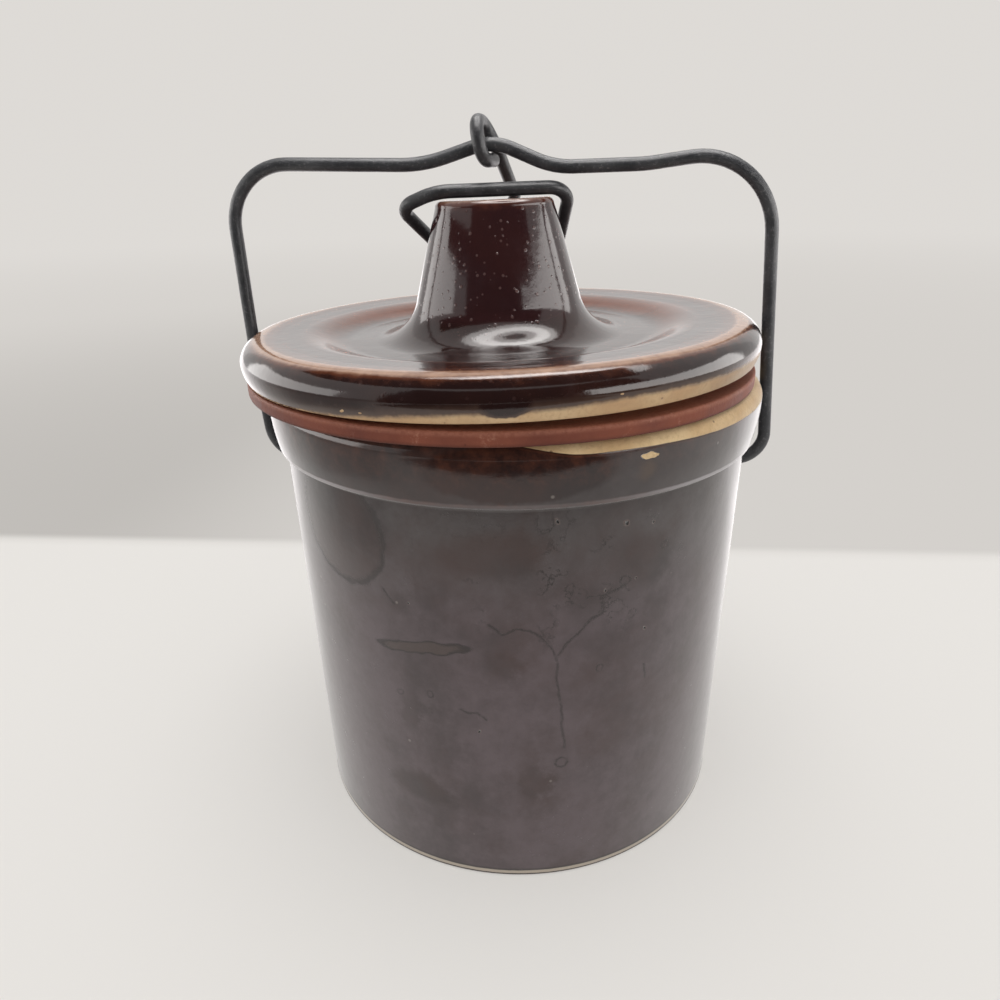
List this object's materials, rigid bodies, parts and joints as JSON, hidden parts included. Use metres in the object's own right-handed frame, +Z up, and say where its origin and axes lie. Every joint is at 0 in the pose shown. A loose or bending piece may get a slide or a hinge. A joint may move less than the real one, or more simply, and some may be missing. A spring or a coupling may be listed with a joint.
{
  "type": "cheese crock",
  "caption": "Shut glazed stoneware cheese crock with a clamped lid: straight jar, rubber ring, thick lid with a tapered knob, wire bail and wire latch.",
  "frame": {"origin": "on the jar's axis, in the flat base", "axes": "+Z up along the jar's axis; the front is -Y; the wire bail stands in the XZ plane with its two ends on the X axis's line"},
  "size_m": [0.1119, 0.1032, 0.1419],
  "materials": {
    "jar_glaze": "glossy",
    "ring_rubber": "matte",
    "lid_glaze": "glossy",
    "bail_wire": "satin",
    "latch_wire": "satin"
  },
  "bodies": {
    "root": {"crock": "jar_glaze", "gasket": "ring_rubber", "lid": "lid_glaze", "bail": "bail_wire", "latch": "latch_wire"}
  },
  "joints": []
}
